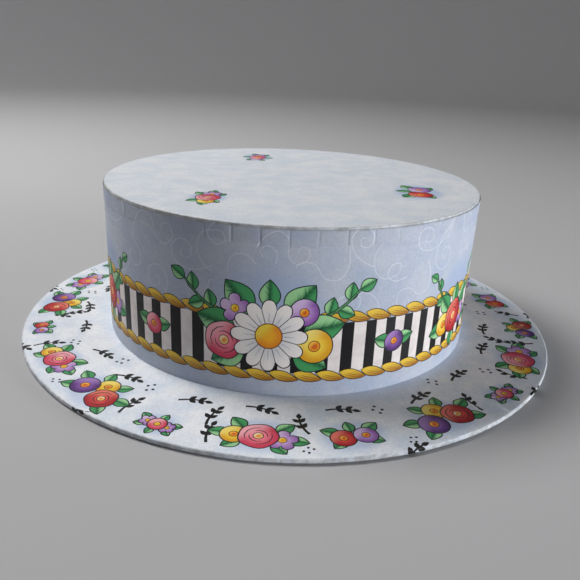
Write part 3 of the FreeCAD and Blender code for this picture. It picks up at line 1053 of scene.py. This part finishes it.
side_path = FoldPath(SIDE_RADIUS, side_high.z, -90)
side_path.run(SIDE_HEIGHT - MOUTH_BEND).bend(MOUTH_BEND)
side_path.run(SIDE_RADIUS - WALL_IN - 2 * MOUTH_BEND).bend(MOUTH_BEND).run(HEM - MOUTH_BEND)
lap_starts = pi - LAP / 2 / SIDE_RADIUS


def eased(value, low, high):
    t = min(max((value - low) / (high - low), 0), 1)
    return t * t * (3 - 2 * t)


def side_relief(distance, angle):
    """The rise over the tabs, at the lifted upper edge, and over the sheet's own beginning at the lap."""
    place = angle / TURN * TOP_TABS
    to_slit = abs((place + 0.5) % 1 - 0.5) * AROUND / TOP_TABS
    drop = tab_drop(int(place // 1))
    over_tab = eased(to_slit, 0.2, 1.1) * (1 - eased(distance, drop - 1.0, drop + 0.9))
    lifted = EDGE_LIFT * (1 - eased(distance, 0.2, 1.2))
    lap = (PAPER + 0.02) * eased(angle, lap_starts - 0.012, lap_starts)
    return TAB_RISE * over_tab + lifted + lap


def place_on_side(x, y):
    return SIDE_HEIGHT - y, x / SIDE_RADIUS


lowest = SIDE_HEIGHT - side_path.length
side_outline = box_outline(-HALF_STRIP, lowest, HALF_STRIP, SIDE_HEIGHT)
side_lines = []
for i in range(COLUMNS + 1):
    x = -HALF_STRIP + 2 * HALF_STRIP * i / COLUMNS
    side_lines.append([Vector((x, lowest)), Vector((x, SIDE_HEIGHT))])
for i in range(-TOP_TABS // 2, TOP_TABS // 2 + 1):
    for aside in (-1.1, -0.3, 0.3, 1.1):
        x = AROUND * i / TOP_TABS + aside
        side_lines.append([Vector((x, SIDE_HEIGHT - TAB_DROP)), Vector((x, SIDE_HEIGHT))])
rows = side_path.creases() + [0.6, 1.2, 4, 20, 35, 50, 65, 80] + [TAB_DROP + 1.0 - 0.6 * i for i in range(8)]
for row in rows:
    side_lines.append([Vector((-HALF_STRIP, SIDE_HEIGHT - row)), Vector((HALF_STRIP, SIDE_HEIGHT - row))])
side_marks = wall_print()
lay(side_marks, "cut", box_outline(lap_starts * SIDE_RADIUS, lowest - 1, HALF_STRIP + 1, 0.5), spot())
side_sheet = folded_sheet(
    "wall_print", side_outline, side_marks, side_lines, "side_ground", side_path, place_on_side, side_relief)
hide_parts("crown_side_paper")
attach(side_sheet, "lid")

# %% [markdown]
# ## The round sheets
#
# The top's sheet is a disc with slit tabs that fold down the wall, under the wall's paper. The brim's sheet
# folds round the edge of the board and ends in notched tabs underneath. Both fold along a path that starts
# in the middle of the disc.

# %% Lines and a place for round sheets
def place_on_disc(x, y):
    return hypot(x, y), atan2(x, -y)


def ring_line(radius, count=240):
    points = [Vector((radius * sin(TURN * i / count), -radius * cos(TURN * i / count))) for i in range(count)]
    return points + points[:1]


def disc_lines(path, first, rings=(), count=240):
    lines = [ring_line(r, count) for r in list(rings) + path.creases()]
    for i in range(count):
        toward = Vector((sin(TURN * i / count), -cos(TURN * i / count)))
        lines.append([toward * first, toward * path.length])
    return lines


# %% Cover the top
TOP_BEND = 0.4
top_path = FoldPath(0, TOP_HEIGHT, 0).run(TOP_RADIUS - TOP_BEND).bend(TOP_BEND).run(TAB_DROP - TOP_BEND)
top_marks = top_print()
slit_starts = TOP_RADIUS - TOP_BEND + TOP_BEND * pi / 2 + 0.8
for i in range(TOP_TABS):
    a = 360 * i / TOP_TABS
    lay(top_marks, "cut", box_outline(-0.3, -top_path.length - 1, 0.3, -slit_starts), spot(turn=a))
top_lines = disc_lines(top_path, TOP_RADIUS - 4, (40, 80, 110))
top_sheet = folded_sheet(
    "top_print", ring_line(top_path.length)[:-1], top_marks, top_lines, "top_ground", top_path, place_on_disc,
    lambda distance, angle: 0.0)
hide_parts("crown_top_paper")
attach(top_sheet, "lid")

# %% Cover the brim
EDGE_BEND = 0.9
PLEAT_DEPTH = 0.16
brim_path = FoldPath(0, BRIM_TOP, 0).run(BRIM_RADIUS - EDGE_BEND).bend(EDGE_BEND)
brim_path.run(BRIM_TOP - BRIM_UNDER - 2 * EDGE_BEND).bend(EDGE_BEND).run(BRIM_TURN - EDGE_BEND)
brim_marks = brim_print()
notch_starts = brim_path.length - BRIM_TURN + 2 * EDGE_BEND
for i in range(BRIM_TABS):
    notch = [Vector((x, -brim_path.length - 1)) for x in (-1.2, 1.2)] + [Vector((0, -notch_starts))]
    lay(brim_marks, "cut", notch, spot(turn=360 * i / BRIM_TABS))
brim_lines = disc_lines(brim_path, 112, (60, 112, 135, 160))
for i in range(BRIM_TABS):
    where = spot(turn=360 * (i + 0.3 * sin(5 * i)) / BRIM_TABS)
    for aside in (-1.1, -0.5, 0, 0.5, 1.1):
        brim_lines.append([put(where, (aside, 1 - BRIM_RADIUS)), put(where, (aside, 0.3 - notch_starts))])


def brim_relief(distance, angle):
    """Small pleats over the edge, where the paper was drawn round it. They sink in."""
    nearest = round(angle / TURN * BRIM_TABS)
    pleat = min((nearest + k + 0.3 * sin(5 * ((nearest + k) % BRIM_TABS)) for k in (-1, 0, 1)),
                key=lambda place: abs(place - angle / TURN * BRIM_TABS))
    aside = abs(angle / TURN * BRIM_TABS - pleat) * TURN * BRIM_RADIUS / BRIM_TABS
    over_edge = eased(distance, BRIM_RADIUS - 1.2, BRIM_RADIUS)
    over_edge *= 1 - eased(distance, notch_starts - 1.5, notch_starts)
    return -PLEAT_DEPTH * over_edge * (1 - eased(aside, 0, 1.1))


brim_sheet = folded_sheet(
    "brim_print", ring_line(brim_path.length)[:-1], brim_marks, brim_lines, "brim_ground", brim_path,
    place_on_disc, brim_relief)
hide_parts("brim_paper")
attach(brim_sheet, "base")

# %% [markdown]
# ## Floor and light
#
# A pale round floor that curves up into a wall on every side, so that the box has a quiet background from
# anywhere. It is one profile, spun. The floor has a hole that the box covers, with a lamp under it, so that
# the underside can be looked at too. A soft light stands high on the left, a little behind, and a low one
# on the right fills the wall and hardly touches the brim.

# %% Floor
ROOM_FLOOR, ROOM_BEND, ROOM_HEIGHT = 2.0, 1.5, 4.5

stage_mesh = bpy.data.meshes.new("floor")
bm = bmesh.new()
turns = [pi / 2 * i / 12 for i in range(13)]
bend = [(ROOM_FLOOR + ROOM_BEND * sin(a), ROOM_BEND - ROOM_BEND * cos(a)) for a in turns]
profile = [(BRIM_RADIUS * MM - 0.003, 0), (0.6, 0)] + bend + [(ROOM_FLOOR + ROOM_BEND, ROOM_HEIGHT)]
verts = [bm.verts.new((x, 0, z - 0.0002)) for x, z in profile]
edges = [bm.edges.new(pair) for pair in zip(verts, verts[1:])]
bmesh.ops.spin(bm, geom=verts + edges, axis=(0, 0, 1), cent=(0, 0, 0), angle=TURN, steps=96, use_merge=True)
bmesh.ops.recalc_face_normals(bm, faces=bm.faces)
for face in bm.faces:
    face.smooth = True
bm.to_mesh(stage_mesh)
bm.free()
floor = bpy.data.objects.new("floor", stage_mesh)
bpy.context.scene.collection.objects.link(floor)
floor_material = bpy.data.materials.new("floor")
floor_material.use_nodes = True
floor_shader = floor_material.node_tree.nodes["Principled BSDF"]
floor_shader.inputs["Base Color"].default_value = colour(182, 182, 184)
floor_shader.inputs["Roughness"].default_value = 1.0
floor_shader.inputs["Specular IOR Level"].default_value = 0.1
stage_mesh.materials.append(floor_material)

# %% Lights
def soft_light(name, place, aim, size, power, tint):
    data = bpy.data.lights.new(name, "AREA")
    data.shape = "DISK"
    data.size = size
    data.energy = power
    data.color = tint
    light = bpy.data.objects.new(name, data)
    light.location = place
    light.rotation_euler = (Vector(aim) - Vector(place)).to_track_quat("-Z", "Y").to_euler()
    bpy.context.scene.collection.objects.link(light)


soft_light("window", (-0.81, 0.431, 1.311), (0, 0, 0.05), 0.6, 18.5, (1.0, 0.985, 0.97))
soft_light("fill", (1.447, -0.675, 0.112), (0, 0, 0.05), 0.5, 31, (0.97, 0.985, 1.0))
soft_light("backdrop", (-2.2, 0.4, 2.2), (-1.0, 2.2, 1.3), 0.8, 30, (1.0, 0.99, 0.98))
soft_light("under", (0.35, -0.45, -1.0), (0, 0, 0), 0.6, 9, (1.0, 1.0, 1.0))
world = bpy.data.worlds.new("room")
world.use_nodes = True
world.node_tree.nodes["Background"].inputs[0].default_value = (0.86, 0.88, 0.92, 1)
world.node_tree.nodes["Background"].inputs[1].default_value = 0.02
bpy.context.scene.world = world
bpy.context.scene.view_settings.view_transform = "Standard"
